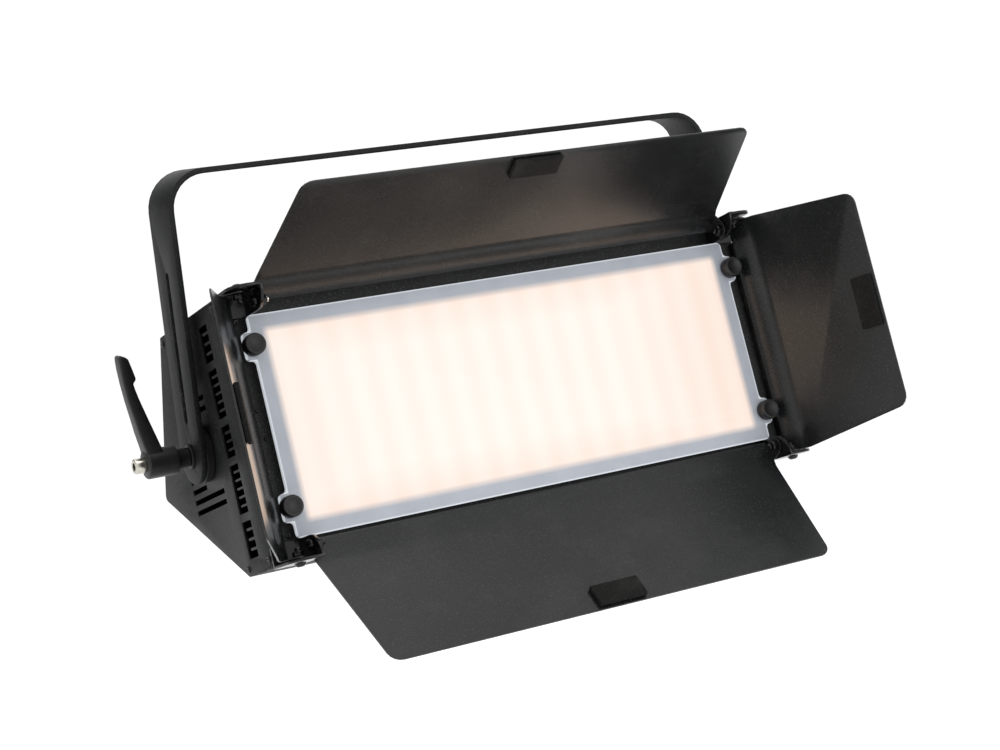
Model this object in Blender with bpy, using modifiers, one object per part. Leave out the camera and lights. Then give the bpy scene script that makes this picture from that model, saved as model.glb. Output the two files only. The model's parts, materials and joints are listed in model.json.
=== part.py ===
"""LED panel light with four barn doors, held in a tilting yoke.

Metres, +Z up. The origin is on the top face of the yoke's crossbar, in the middle of its bolt hole.
The light faces -Y. Housing pieces are placed in the housing's own frame, whose origin is the
centre of the front plate's face, and the housing hangs tilted from the pivot in the yoke's arms.
"""

from math import cos, pi, radians, sin, sqrt, tan

import bmesh
import bpy
from mathutils import Vector

GAP = 0.0003  # between pieces that touch

# Yoke and tilt pivot
ARM_WIDTH = 0.040
ARM_THICK = 0.004
ARM_INNER = 0.2194  # from the centre plane to an arm's inner face
YOKE_DROP = 0.198  # crossbar top face to pivot
YOKE_BEND = 0.026  # middle of the bar
YOKE_HOLE = 0.0065
ARM_SLOT = (0.023, 0.129)  # heights above the pivot
ARM_SLOT_WIDTH = 0.0055
STUD_RADIUS = 0.004
STUD_HOLE = 0.0043
DISC_RADIUS = 0.020
TILT = radians(14.8)  # the front looks up this much at rest
LEVER_OUTLINE = [  # (height above the pivot, distance out from the hub's foot, half width)
    (0.006, 0.0308, 0.0068),
    (0.012, 0.0320, 0.0066),
    (0.033, 0.0363, 0.0056),
    (0.046, 0.0388, 0.0050),
    (0.058, 0.0404, 0.0051),
    (0.068, 0.0414, 0.0055),
    (0.0765, 0.0414, 0.0055),
    (0.0778, 0.0399, 0.0055),
    (0.0745, 0.0350, 0.0055),
    (0.0610, 0.0313, 0.0051),
    (0.0595, 0.0314, 0.0051),
    (0.0573, 0.0334, 0.0051),
    (0.0530, 0.0326, 0.0050),
    (0.0455, 0.0306, 0.0050),
    (0.0310, 0.0262, 0.0056),
    (0.0145, 0.0211, 0.0066),
    (0.006, 0.0184, 0.0068),
]

# Housing
HALF_WIDTH = 0.213
HALF_HEIGHT = 0.0925
SHEET = 0.0015
TOP_DEPTH = 0.114
LIP_DEPTH = 0.046
SLOPE = radians(30)
FLANGE_DEPTH = 0.014
PIVOT_BACK = 0.078  # from the front face to the pivot
WINDOW = (0.185, 0.067)

# Diffuser sheet and its knobs
DIFFUSER = (0.1953, 0.0768)
DIFFUSER_THICK = 0.003
DIFFUSER_BACK = 0.0062
TAB_REACH = 0.0065
TAB_HALF = 0.0098
KNOB_AT = (0.1967, 0.0556)
KNOB_RADIUS = 0.0075
KNOB_HEIGHT = 0.009

# Barn doors: the axis is AXIS_OUT in front of the plate, and the sheet lies DOOR_OFFSET outside it
AXIS_OUT = {"wide": 0.0226, "side": 0.0215}
AXIS_UP = {"wide": 0.0835, "side": 0.2027}
DOOR_SHEET = 0.0012
DOOR_OFFSET = 0.0104
DOOR_TAIL = 0.0088  # strip behind the axis
DOOR_STRIP = 0.0121  # strip from the axis to the crease
CREASE = radians(13.8)
EAR_HALF = 0.0065
EAR_PAST_AXIS = 0.0055
EAR_ROUND = 0.006
DOOR_CORNER = 0.008
DOOR_LENGTH = {"wide": 0.0903, "side": 0.0930}  # crease to free edge
DOOR_HINGE_HALF = {"wide": 0.1894, "side": 0.0903}
DOOR_CREASE_HALF = {"wide": 0.1883, "side": 0.0903}
DOOR_FREE_HALF = {"wide": 0.1768, "side": 0.0796}
PAD = (0.038, 0.017, 0.0035)
PAD_FROM_EDGE = 0.0022

# Corner brackets, as the middle surface of their sheet
BRACKET_THICK = 0.002
BRACKET_EAR = 0.1916
BRACKET_OUT = 0.2132
BRACKET_FLANGE = 0.0925
BRACKET_LOW = 0.077
BRACKET_REACH = 0.037
BOLT_RADIUS = 0.002
BOLT_HOLE = 0.0022

DOORS = {
    # name: (kind, turn of its frame about the forward axis, opening angle at rest)
    "top": ("wide", 0, radians(40.2)),
    "bottom": ("wide", pi, radians(66.5)),
    "right": ("side", pi / 2, radians(30.7)),
    "left": ("side", -pi / 2, radians(38.3)),
}
SIDES = {"left": -1, "right": 1}
ENDS = {"top": 1, "bottom": -1}

OUTWARD_X = (0, -pi / 2, 0)  # a piece's own +Z points to -X
FACING = (pi / 2, 0, 0)  # a piece's own +Z points to -Y
PROFILE_PLANE = (pi / 2, 0, pi / 2)  # drawn as (depth, height), extruded along X
FRONT_PLANE = (pi / 2, 0, 0)  # drawn as (across, height), extruded along Y


def clear_scene():
    for obj in list(bpy.data.objects):
        bpy.data.objects.remove(obj, do_unlink=True)


clear_scene()
parts = bpy.data.collections.new("led_panel_light")
cutters = bpy.data.collections.new("cutters")
for collection in (parts, cutters):
    bpy.context.scene.collection.children.link(collection)
cutters.hide_render = True


def material(name, colour, roughness, metallic=0.0):
    made = bpy.data.materials.new(name)
    made.use_nodes = True
    shader = made.node_tree.nodes["Principled BSDF"]
    shader.inputs["Base Color"].default_value = (*colour, 1)
    shader.inputs["Roughness"].default_value = roughness
    shader.inputs["Metallic"].default_value = metallic
    return made


BLACK_PAINT = material("black_powder_coat", (0.022, 0.022, 0.024), 0.55)
GLOSS_BLACK = material("gloss_black_steel", (0.012, 0.012, 0.013), 0.25)
BLACK_PLASTIC = material("black_plastic", (0.02, 0.02, 0.021), 0.45)
NICKEL = material("nickel", (0.62, 0.60, 0.55), 0.28, 1.0)
FROSTED = material("frosted_sheet", (0.86, 0.87, 0.90), 0.5)
FELT = material("black_foam", (0.015, 0.015, 0.015), 0.95)
WHITE = material("white_reflector", (0.85, 0.85, 0.83), 0.6)
BOARD = material("green_board", (0.05, 0.20, 0.10), 0.5)
ALUMINIUM = material("aluminium", (0.70, 0.71, 0.72), 0.35, 1.0)
ZINC = material("zinc_case", (0.55, 0.56, 0.58), 0.4, 1.0)
GLASS = material("display_glass", (0.03, 0.05, 0.08), 0.1)


def add(name, data, finish, parent, place=(0, 0, 0), turn=(0, 0, 0)):
    """An object of the part, placed in its parent's frame."""
    obj = bpy.data.objects.new(name, data)
    data.materials.append(finish)
    parts.objects.link(obj)
    obj.parent = parent
    obj.location = place
    obj.rotation_euler = turn
    return obj


def frame(name, parent, place=(0, 0, 0), turn=(0, 0, 0)):
    empty = bpy.data.objects.new(name, None)
    parts.objects.link(empty)
    empty.parent = parent
    empty.location = place
    empty.rotation_euler = turn
    return empty


def mesh_of(bm, name):
    mesh = bpy.data.meshes.new(name)
    bm.to_mesh(mesh)
    bm.free()
    return mesh


def box(low, high):
    bm = bmesh.new()
    size = Vector(high) - Vector(low)
    bmesh.ops.create_cube(bm, size=1)
    bmesh.ops.scale(bm, vec=size, verts=bm.verts)
    bmesh.ops.translate(bm, vec=(Vector(high) + Vector(low)) / 2, verts=bm.verts)
    return mesh_of(bm, "box")


def bar(points, low, high):
    """A solid whose section is the (y, z) points, from low to high along X."""
    bm = bmesh.new()
    bm.faces.new([bm.verts.new((low, y, z)) for y, z in points])
    solid = bmesh.ops.extrude_face_region(bm, geom=list(bm.faces))["geom"]
    moved = [v for v in solid if isinstance(v, bmesh.types.BMVert)]
    bmesh.ops.translate(bm, vec=(high - low, 0, 0), verts=moved)
    bmesh.ops.recalc_face_normals(bm, faces=bm.faces)
    return mesh_of(bm, "bar")


def rod(radius, low, high, segments=20):
    """A cylinder on its own Z, from low to high."""
    bm = bmesh.new()
    bmesh.ops.create_cone(
        bm, cap_ends=True, segments=segments, radius1=radius, radius2=radius, depth=high - low
    )
    bmesh.ops.translate(bm, vec=(0, 0, (high + low) / 2), verts=bm.verts)
    return mesh_of(bm, "rod")


def helper(data, parent, place=(0, 0, 0), turn=(0, 0, 0)):
    """A shape that only cuts or joins another."""
    obj = bpy.data.objects.new("helper", data)
    cutters.objects.link(obj)
    obj.parent = parent
    obj.location = place
    obj.rotation_euler = turn
    obj.hide_render = True
    obj.display_type = "WIRE"
    return obj


def boolean(obj, other, operation="DIFFERENCE"):
    modifier = obj.modifiers.new(operation.lower(), "BOOLEAN")
    modifier.operation = operation
    modifier.object = other


def bevel(obj, width, segments=1):
    modifier = obj.modifiers.new("edges", "BEVEL")
    modifier.width = width
    modifier.segments = segments


def turned(profile, steps=20, closed=False):
    """A profile of (radius, height) points, its outer side running down, spun about Z."""
    mesh = bpy.data.meshes.new("turned")
    edges = [(i, i + 1) for i in range(len(profile) - 1)]
    if closed:
        edges.append((len(profile) - 1, 0))
    mesh.from_pydata([(r, 0, z) for r, z in profile], edges, [])
    return mesh, steps


def add_turned(name, shape, finish, parent, place=(0, 0, 0), turn=(0, 0, 0)):
    mesh, steps = shape
    obj = add(name, mesh, finish, parent, place, turn)
    screw = obj.modifiers.new("spin", "SCREW")
    screw.angle = 2 * pi
    screw.steps = screw.render_steps = steps
    screw.use_merge_vertices = True
    screw.merge_threshold = 0.00005
    screw.use_smooth_shade = True
    return obj


def ring(outer, inner, low, high, steps=24):
    return turned([(outer, high), (outer, low), (inner, low), (inner, high)], steps, closed=True)


def rounded(points, radii, steps=4, closed=True):
    """The outline with each corner turned into an arc of its radius."""
    out = []
    count = len(points)
    for i, (point, radius) in enumerate(zip(points, radii)):
        if radius == 0 or (not closed and i in (0, count - 1)):
            out.append(tuple(point))
            continue
        corner = Vector(point)
        back = (Vector(points[i - 1]) - corner).normalized()
        ahead = (Vector(points[(i + 1) % count]) - corner).normalized()
        half = back.angle(ahead) / 2
        centre = corner + (back + ahead).normalized() * radius / sin(half)
        first = corner + back * radius / tan(half) - centre
        last = corner + ahead * radius / tan(half) - centre
        for k in range(steps + 1):
            out.append(tuple(centre + first.slerp(last, k / steps) * radius))
    return out


def circle(radius, centre=(0, 0), steps=16):
    x, y = centre
    return [
        (x + radius * cos(2 * pi * k / steps), y + radius * sin(2 * pi * k / steps))
        for k in range(steps)
    ]


def rectangle(low, high):
    return [low, (high[0], low[1]), high, (low[0], high[1])]


def plate(loops, thickness):
    """A flat sheet: the first loop is its outline and the others are holes."""
    curve = bpy.data.curves.new("plate", "CURVE")
    curve.dimensions = "2D"
    curve.fill_mode = "BOTH"
    curve.extrude = thickness / 2
    for loop in loops:
        spline = curve.splines.new("POLY")
        spline.points.add(len(loop) - 1)
        for point, (x, y) in zip(spline.points, loop):
            point.co = (x, y, 0, 1)
        spline.use_cyclic_u = True
    return curve


def folded_sheet(profile, half_width):
    """An open strip: a line of (depth, height) points pulled out along X."""
    bm = bmesh.new()
    verts = [bm.verts.new((-half_width, y, z)) for y, z in profile]
    edges = [bm.edges.new(pair) for pair in zip(verts, verts[1:])]
    new = bmesh.ops.extrude_edge_only(bm, edges=edges)["geom"]
    moved = [v for v in new if isinstance(v, bmesh.types.BMVert)]
    bmesh.ops.translate(bm, vec=(2 * half_width, 0, 0), verts=moved)
    return mesh_of(bm, "folded_sheet")


def thicken(obj, thickness):
    """Half of the thickness goes to each side of the sheet."""
    modifier = obj.modifiers.new("sheet", "SOLIDIFY")
    modifier.thickness = thickness
    modifier.offset = 0
    modifier.use_even_offset = True


# Frames: the pivot turns the housing, and each door turns in a frame on its own hinge line
pivot = frame("housing_tilt", None, (0, 0, -YOKE_DROP), (-TILT, 0, 0))
housing = frame("housing_frame", pivot, (0, -PIVOT_BACK, 0))
hinge_base = {}
hinge_turn = {}
for name, (kind, turn, opening) in DOORS.items():
    out = AXIS_UP[kind]
    place = (sin(turn) * out, -AXIS_OUT[kind], cos(turn) * out)
    hinge_base[name] = frame(name + "_hinge", housing, place, (0, turn, 0))
    hinge_turn[name] = frame(name + "_door_turn", hinge_base[name], turn=(-opening, 0, 0))

# The housing's outline from the side: the sloping base and the rear panel meet square
slant = (LIP_DEPTH - TOP_DEPTH + 2 * HALF_HEIGHT / tan(SLOPE)) * sin(SLOPE)
REAR_CORNER = (TOP_DEPTH + slant * sin(SLOPE), HALF_HEIGHT - slant * cos(SLOPE))
REAR_MIDDLE = ((TOP_DEPTH + REAR_CORNER[0]) / 2, (HALF_HEIGHT + REAR_CORNER[1]) / 2)
rear_panel = frame("rear_panel_frame", housing, (0, *REAR_MIDDLE), (SLOPE - pi / 2, 0, 0))


def side_frame(name, parent, side):
    """+Z of the frame points away from the housing along the pivot, +X points up."""
    return frame(f"{name}_{side}_frame", parent, turn=(0, -pi / 2, 0 if side == "left" else pi))


def yoke():
    """A flat bar bent to a U with round lower ends, a slot in each arm and a bolt hole on top."""
    middle = ARM_INNER + ARM_THICK / 2
    foot = -YOKE_DROP - ARM_WIDTH / 2
    top = -ARM_THICK / 2
    line = [(-middle, foot), (-middle, top), (middle, top), (middle, foot)]
    line = rounded(line, [0, YOKE_BEND, YOKE_BEND, 0], steps=8, closed=False)
    bm = bmesh.new()
    verts = [bm.verts.new((x, -ARM_WIDTH / 2, z)) for x, z in line]
    edges = [bm.edges.new(pair) for pair in zip(verts, verts[1:])]
    new = bmesh.ops.extrude_edge_only(bm, edges=edges)["geom"]
    moved = [v for v in new if isinstance(v, bmesh.types.BMVert)]
    bmesh.ops.translate(bm, vec=(0, ARM_WIDTH, 0), verts=moved)
    ends = [v for v in bm.verts if v.co.z < foot + GAP]
    bmesh.ops.bevel(
        bm, geom=ends, affect="VERTICES", offset=0.495 * ARM_WIDTH, segments=8, profile=0.5, material=-1
    )
    obj = add("yoke", mesh_of(bm, "yoke"), BLACK_PAINT, None)
    thicken(obj, ARM_THICK)
    across = ARM_INNER + 0.02
    low, high = (height - YOKE_DROP for height in ARM_SLOT)
    half = ARM_SLOT_WIDTH / 2
    corners = [(-half, low), (half, low), (half, high), (-half, high)]
    slot = rounded(corners, [0.96 * half] * 4, steps=4)
    boolean(obj, helper(bar(slot, -across, across), None))
    boolean(obj, helper(rod(STUD_HOLE, -across, across), None, (0, 0, -YOKE_DROP), OUTWARD_X))
    boolean(obj, helper(rod(YOKE_HOLE, -0.02, 0.01), None))


def tilt_hardware():
    """On each side: friction disc and stud on the housing, washer on the yoke, and clamp lever."""
    disc = ring(DISC_RADIUS, STUD_HOLE, HALF_WIDTH + GAP, ARM_INNER - GAP, 28)
    outer = ARM_INNER + ARM_THICK
    washer = ring(0.0085, STUD_HOLE, outer + GAP, outer + 0.002, 20)
    inside = HALF_WIDTH - SHEET - GAP
    stud = turned(
        [(0, 0.249), (STUD_RADIUS - 0.0006, 0.249), (STUD_RADIUS, 0.2484), (STUD_RADIUS, inside)]
        + [(0.009, inside), (0.009, inside - 0.006), (0, inside - 0.006)]
    )
    for side in SIDES:
        on_housing = side_frame("stud", pivot, side)
        on_yoke = frame(f"yoke_{side}_pivot", None, (0, 0, -YOKE_DROP))
        on_yoke = side_frame("lever", on_yoke, side)
        add_turned(f"tilt_disc_{side}", (disc[0].copy(), disc[1]), BLACK_PLASTIC, on_housing)
        add_turned(f"tilt_stud_{side}", (stud[0].copy(), stud[1]), GLOSS_BLACK, on_housing)
        add_turned(f"lever_washer_{side}", (washer[0].copy(), washer[1]), GLOSS_BLACK, on_yoke)
        clamp_lever(side, on_yoke, outer + 0.0023)


def clamp_lever(side, parent, base):
    """A turned hub with a blind bore, an arm leaning outwards with a finger notch, and its screw."""
    neck, hub, end = base + 0.0089, base + 0.0095, base + 0.0316
    bore = base + 0.025
    profile = [(0, end), (0.0092, end), (0.0103, end - 0.0011), (0.0103, hub), (0.0068, neck)]
    profile += [(0.0068, base), (STUD_HOLE, base), (STUD_HOLE, bore), (0, bore)]
    lever = add_turned(f"tilt_lever_{side}", turned(profile, 24), BLACK_PLASTIC, parent)
    bm = bmesh.new()
    outline = [bm.verts.new((reach, 0, base + lean)) for reach, lean, _ in LEVER_OUTLINE]
    bm.faces.new(outline)
    solid = bmesh.ops.extrude_face_region(bm, geom=list(bm.faces))["geom"]
    far = [v for v in solid if isinstance(v, bmesh.types.BMVert)]
    for sign, verts in ((-1, outline), (1, far)):
        for vert, (_, _, half) in zip(verts, LEVER_OUTLINE):
            vert.co.y = sign * half
    bmesh.ops.recalc_face_normals(bm, faces=bm.faces)
    rims = [e for e in bm.edges if e.verts[0].co.y * e.verts[1].co.y > 0]
    bmesh.ops.bevel(
        bm, geom=rims, affect="EDGES", offset=0.0009, segments=1, profile=0.5, material=-1
    )
    boolean(lever, helper(mesh_of(bm, "arm"), parent), "UNION")
    screw = turned(
        [(0, end + 0.004), (0.0028, end + 0.004), (0.0028, end + 0.0081), (0.0043, end + 0.0081)]
        + [(0.0055, end + 0.0069), (0.0055, end + GAP), (0, end + GAP)],
        16,
    )
    add_turned(f"lever_screw_{side}", screw, NICKEL, parent)


def inset(points, distance):
    """The same line of points, moved inwards, to its right, by the distance."""
    out = []
    for i, point in enumerate(points):
        here = Vector(point)
        normals = []
        for a, b in ((i - 1, i), (i, i + 1)):
            if 0 <= a and b < len(points):
                along = (Vector(points[b]) - Vector(points[a])).normalized()
                normals.append(Vector((along.y, -along.x)))
        first, last = normals[0], normals[-1]
        out.append(tuple(here + (first + last) * distance / (1 + first.dot(last))))
    return out


def housing_shell():
    """Front plate with its light window, two vented side plates and one folded rear cover."""
    half = SHEET / 2
    front = [(FLANGE_DEPTH, HALF_HEIGHT - half), (half, HALF_HEIGHT - half)]
    front += [(y, -z) for y, z in reversed(front)]
    front = rounded(front, [0, 0.003, 0.006, 0], closed=False)
    obj = add("front_plate", folded_sheet(front, HALF_WIDTH), BLACK_PAINT, housing)
    thicken(obj, SHEET)
    wide, high = WINDOW
    boolean(obj, helper(box((-wide, -0.01, -high), (wide, 0.01, high)), housing))

    back = [(FLANGE_DEPTH + GAP, HALF_HEIGHT), (TOP_DEPTH, HALF_HEIGHT), REAR_CORNER]
    back += [(LIP_DEPTH, -HALF_HEIGHT), (FLANGE_DEPTH + GAP, -HALF_HEIGHT)]
    back = rounded(inset(back, half), [0, 0.002, 0.003, 0.002, 0], steps=3, closed=False)
    inner_half = HALF_WIDTH - SHEET - GAP
    cover = add("rear_cover", folded_sheet(back, inner_half), BLACK_PAINT, housing)
    thicken(cover, SHEET)

    step, under = FLANGE_DEPTH + GAP, HALF_HEIGHT - SHEET - GAP
    outline = [(SHEET + GAP, -under), (step, -under), (step, -HALF_HEIGHT), (LIP_DEPTH, -HALF_HEIGHT)]
    outline += [REAR_CORNER, (TOP_DEPTH, HALF_HEIGHT), (step, HALF_HEIGHT), (step, under)]
    outline.append((SHEET + GAP, under))
    outline = rounded(outline, [0.006, 0, 0, 0.002, 0.004, 0.002, 0, 0, 0.003])
    loops = [outline, circle(STUD_HOLE, (PIVOT_BACK, 0))] + vent_slots()
    for side, sign in SIDES.items():
        place = (sign * (HALF_WIDTH - half), 0, 0)
        add(f"side_plate_{side}", plate(loops, SHEET), BLACK_PAINT, housing, place, PROFILE_PLANE)
    return cover


def vent_slots():
    """Five combs of slots near the front edge, and slots above and below the pivot."""
    slots = []
    near, spine, far = 0.0215, 0.0325, 0.0385
    combs = [(0.0684, 4, 0.0068), (0.0333, 6, 0.0059), (0, 4, 0.0059)]
    combs += [(-z, count, pitch) for z, count, pitch in combs[:2]]
    for centre, count, pitch in combs:
        tall = 0.73 * pitch
        low = centre - ((count - 1) * pitch + tall) / 2
        comb = [(far, low)]
        for k in range(count):
            base = low + k * pitch
            comb += [(near, base), (near, base + tall)]
            if k < count - 1:
                comb += [(spine, base + tall), (spine, base + pitch)]
        slots.append(comb + [(far, low + (count - 1) * pitch + tall)])
    for k, start in enumerate((0.111, 0.088, 0.0565, 0.0565)):
        for sign in (-1, 1):
            z = sign * (0.0147 + k * 0.0075)
            slots.append(rectangle((start, z - 0.0018), (0.117, z + 0.0018)))
    return slots


def light_engine():
    """White light box, board of light emitters and finned heat plate behind the window."""
    wide, high = WINDOW[0] + 0.002, WINDOW[1] + 0.002
    wall = 0.0015
    outer = rectangle((-wide - wall, -high - wall), (wide + wall, high + wall))
    inner = rectangle((-wide, -high), (wide, high))
    front, depth = SHEET + GAP, 0.030
    add(
        "light_box", plate([outer, inner], depth), WHITE, housing,
        (0, front + depth / 2, 0), FRONT_PLANE,
    )
    back = front + depth + GAP
    board = 0.0016
    size = (wide + wall, high + wall)
    add(
        "led_board", box((-size[0], back, -size[1]), (size[0], back + board, size[1])), WHITE, housing
    )
    base = back + board + GAP
    comb = [(base, -0.075), (base, 0.075)]
    fins, fin, depth = 9, 0.002, 0.015
    for k in range(fins):
        z = 0.075 - k * (0.150 - fin) / (fins - 1)
        comb += [(base + depth, z), (base + depth, z - fin)]
        if k < fins - 1:
            comb += [(base + 0.003, z - fin), (base + 0.003, z - (0.150 - fin) / (fins - 1))]
    add("heat_plate", plate([comb], 0.390), ALUMINIUM, housing, turn=PROFILE_PLANE)


def electronics():
    """Power supply on the left and driver board on the right, behind the heat plate."""
    case = add(
        "power_supply", box((-0.175, 0.056, -0.022), (-0.015, 0.092, 0.076)), ZINC, housing
    )
    bevel(case, 0.0015)
    board = add("driver_board", box((0.030, 0.056, -0.012), (0.160, 0.0576, 0.076)), BOARD, housing)
    pieces = [((0.040, 0.057, 0.040), (0.066, 0.078, 0.066)), ((0.080, 0.057, 0.0), (0.120, 0.069, 0.020))]
    pieces.append(((0.135, 0.057, -0.005), (0.150, 0.067, 0.060)))
    for low, high in pieces:
        boolean(board, helper(box(low, high), housing), "UNION")
    capacitor = helper(rod(0.009, 0, 0.026), housing, (0.095, 0.057, 0.052), (-pi / 2, 0, 0))
    boolean(board, capacitor, "UNION")


def diffuser():
    """Frosted sheet with four tabs, on spacers, held by four knobs with studs."""
    wide, high = DIFFUSER
    edge = []
    for x_sign, z_sign in ((1, -1), (1, 1), (-1, 1), (-1, -1)):
        ends = [KNOB_AT[1] - TAB_HALF, KNOB_AT[1] + TAB_HALF]
        tab = [(wide, ends[0]), (wide + TAB_REACH, ends[0]), (wide + TAB_REACH, ends[1])]
        tab += [(wide, ends[1]), (wide, high)]
        quarter = [(x_sign * x, z_sign * z) for x, z in tab]
        edge += quarter if x_sign * z_sign > 0 else quarter[::-1]
    loops = [rounded(edge, [0.003] * len(edge), steps=3)]
    stack = DIFFUSER_BACK + DIFFUSER_THICK
    knob = [(0, KNOB_HEIGHT), (KNOB_RADIUS - 0.0008, KNOB_HEIGHT)]
    knob += [(KNOB_RADIUS, KNOB_HEIGHT - 0.0008), (KNOB_RADIUS, 0.0006), (KNOB_RADIUS - 0.0006, 0)]
    knob += [(BOLT_RADIUS, 0), (BOLT_RADIUS, -0.0075), (0, -0.0075)]
    for end, up in ENDS.items():
        for side, across in SIDES.items():
            x, z = across * KNOB_AT[0], up * KNOB_AT[1]
            loops.append(circle(BOLT_HOLE + 0.0002, (x, z), 12))
            place = (x, -GAP, z)
            spacer = ring(0.0045, BOLT_HOLE + 0.0001, 0, DIFFUSER_BACK - 2 * GAP, 16)
            add_turned(f"spacer_{end}_{side}", spacer, NICKEL, housing, place, FACING)
            place = (x, -stack - GAP, z)
            add_turned(f"knob_{end}_{side}", turned(knob, 24), BLACK_PLASTIC, housing, place, FACING)
    middle = DIFFUSER_BACK + DIFFUSER_THICK / 2
    add("diffuser", plate(loops, DIFFUSER_THICK), FROSTED, housing, (0, -middle, 0), FRONT_PLANE)


def hinge_cutters():
    """One long pin along each hinge line, which drills the door's ears and both brackets."""
    reach = {"wide": 0.2, "side": 0.1}
    return {
        name: helper(
            rod(BOLT_HOLE, -reach[kind], reach[kind], 12), hinge_base[name], turn=(0, pi / 2, 0)
        )
        for name, (kind, _, _) in DOORS.items()
    }


def barn_door(name, kind, drill):
    """A tapered sheet with a shallow crease, its free corners round, and an ear at each hinge end."""
    length = DOOR_LENGTH[kind]
    hinge_half, crease_half = DOOR_HINGE_HALF[kind], DOOR_CREASE_HALF[kind]
    rows = [(-DOOR_TAIL, DOOR_OFFSET, hinge_half), (-EAR_HALF, DOOR_OFFSET, hinge_half)]
    rows += [(EAR_HALF, DOOR_OFFSET, hinge_half), (DOOR_STRIP, DOOR_OFFSET, crease_half)]
    free = (DOOR_STRIP + length * cos(CREASE), DOOR_OFFSET - length * sin(CREASE))
    rows.append((*free, DOOR_FREE_HALF[kind]))
    bm = bmesh.new()
    bmesh.ops.create_grid(bm, x_segments=1, y_segments=len(rows) - 1, size=1)
    bm.verts.sort(key=lambda v: 10 * v.co.y + v.co.x)
    bm.verts.ensure_lookup_table()
    for i, (along, out, half) in enumerate(rows):
        for vert, sign in zip(bm.verts[2 * i : 2 * i + 2], (-1, 1)):
            vert.co = (sign * half, -along, out)
    corners = list(bm.verts[-2:])
    ear_roots = [
        edge
        for edge in bm.edges
        if edge.is_boundary and all(abs(abs(v.co.y) - EAR_HALF) < GAP for v in edge.verts)
    ]
    tips = []
    for edge in ear_roots:
        new = bmesh.ops.extrude_edge_only(bm, edges=[edge])["geom"]
        fresh = [v for v in new if isinstance(v, bmesh.types.BMVert)]
        bmesh.ops.translate(bm, vec=(0, 0, -DOOR_OFFSET - EAR_PAST_AXIS), verts=fresh)
        tips += fresh
    for geometry, offset in ((tips, EAR_ROUND), (corners, DOOR_CORNER)):
        bmesh.ops.bevel(
            bm, geom=geometry, affect="VERTICES", offset=offset, segments=4, profile=0.5, material=-1
        )
    obj = add(f"barn_door_{name}", mesh_of(bm, "door"), BLACK_PAINT, hinge_turn[name])
    thicken(obj, DOOR_SHEET)
    boolean(obj, drill)

    wide, long, thick = PAD
    along = length - PAD_FROM_EDGE - long / 2
    under = DOOR_SHEET / 2 + GAP + thick / 2
    place = (
        0,
        -DOOR_STRIP - along * cos(CREASE) + under * sin(CREASE),
        DOOR_OFFSET - along * sin(CREASE) - under * cos(CREASE),
    )
    size = Vector((wide, long, thick)) / 2
    pad = add(f"door_pad_{name}", box(-size, size), FELT, hinge_turn[name], place, (CREASE, 0, 0))
    bevel(pad, 0.0006)


def corner_bracket(end, side, drills):
    """Three plates that meet in a corner: a base, a flange for the side door and an ear."""
    up, across = ENDS[end], SIDES[side]
    low = Vector((across * BRACKET_EAR, -BRACKET_REACH, up * BRACKET_LOW))
    high = Vector((across * BRACKET_OUT, -GAP - BRACKET_THICK / 2, up * BRACKET_FLANGE))
    middle = (low + high) / 2
    size = high - low
    bm = bmesh.new()
    bmesh.ops.create_cube(bm, size=1)
    bmesh.ops.scale(bm, vec=[abs(s) for s in size], verts=bm.verts)
    bmesh.ops.translate(bm, vec=middle, verts=bm.verts)
    gone = []
    for face in bm.faces:
        spot = face.calc_center_median() - middle
        on_base = spot.y > GAP
        on_flange = up * spot.z > GAP
        on_ear = across * spot.x < -GAP
        if not (on_base or on_flange or on_ear):
            gone.append(face)
    bmesh.ops.delete(bm, geom=gone, context="FACES")
    for x, y, z, radius in (
        (high.x, low.y, high.z, 0.011),
        (low.x, low.y, low.z, 0.0135),
        (high.x, high.y, low.z, 0.003),
    ):
        found = [v for v in bm.verts if (v.co - Vector((x, y, z))).length < GAP]
        bmesh.ops.bevel(
            bm, geom=found, affect="VERTICES", offset=radius, segments=4, profile=0.5, material=-1
        )
    obj = add(f"bracket_{end}_{side}", mesh_of(bm, "bracket"), GLOSS_BLACK, housing)
    thicken(obj, BRACKET_THICK)
    for drill in drills:
        boolean(obj, drill)


def hinge_bolts():
    """Bolt and nut at each end of each hinge line, clamped through bracket and door ear."""
    stack = {"wide": BRACKET_EAR, "side": BRACKET_FLANGE}
    for name, (kind, _, _) in DOORS.items():
        head = stack[kind] + BRACKET_THICK / 2 + GAP
        nut = DOOR_HINGE_HALF[kind] - DOOR_SHEET / 2 - GAP
        profile = [(0, head + 0.0026), (0.0032, head + 0.0026), (0.004, head + 0.0014), (0.004, head)]
        profile += [(BOLT_RADIUS, head), (BOLT_RADIUS, nut), (0.0038, nut), (0.0038, nut - 0.0036)]
        profile += [(0.0028, nut - 0.0048), (0, nut - 0.0048)]
        for k, sign in enumerate((1, -1), 1):
            bolt = turned(profile, 12)
            turn = (0, sign * pi / 2, 0)
            add_turned(f"hinge_bolt_{name}_{k}", bolt, GLOSS_BLACK, hinge_base[name], turn=turn)


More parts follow.
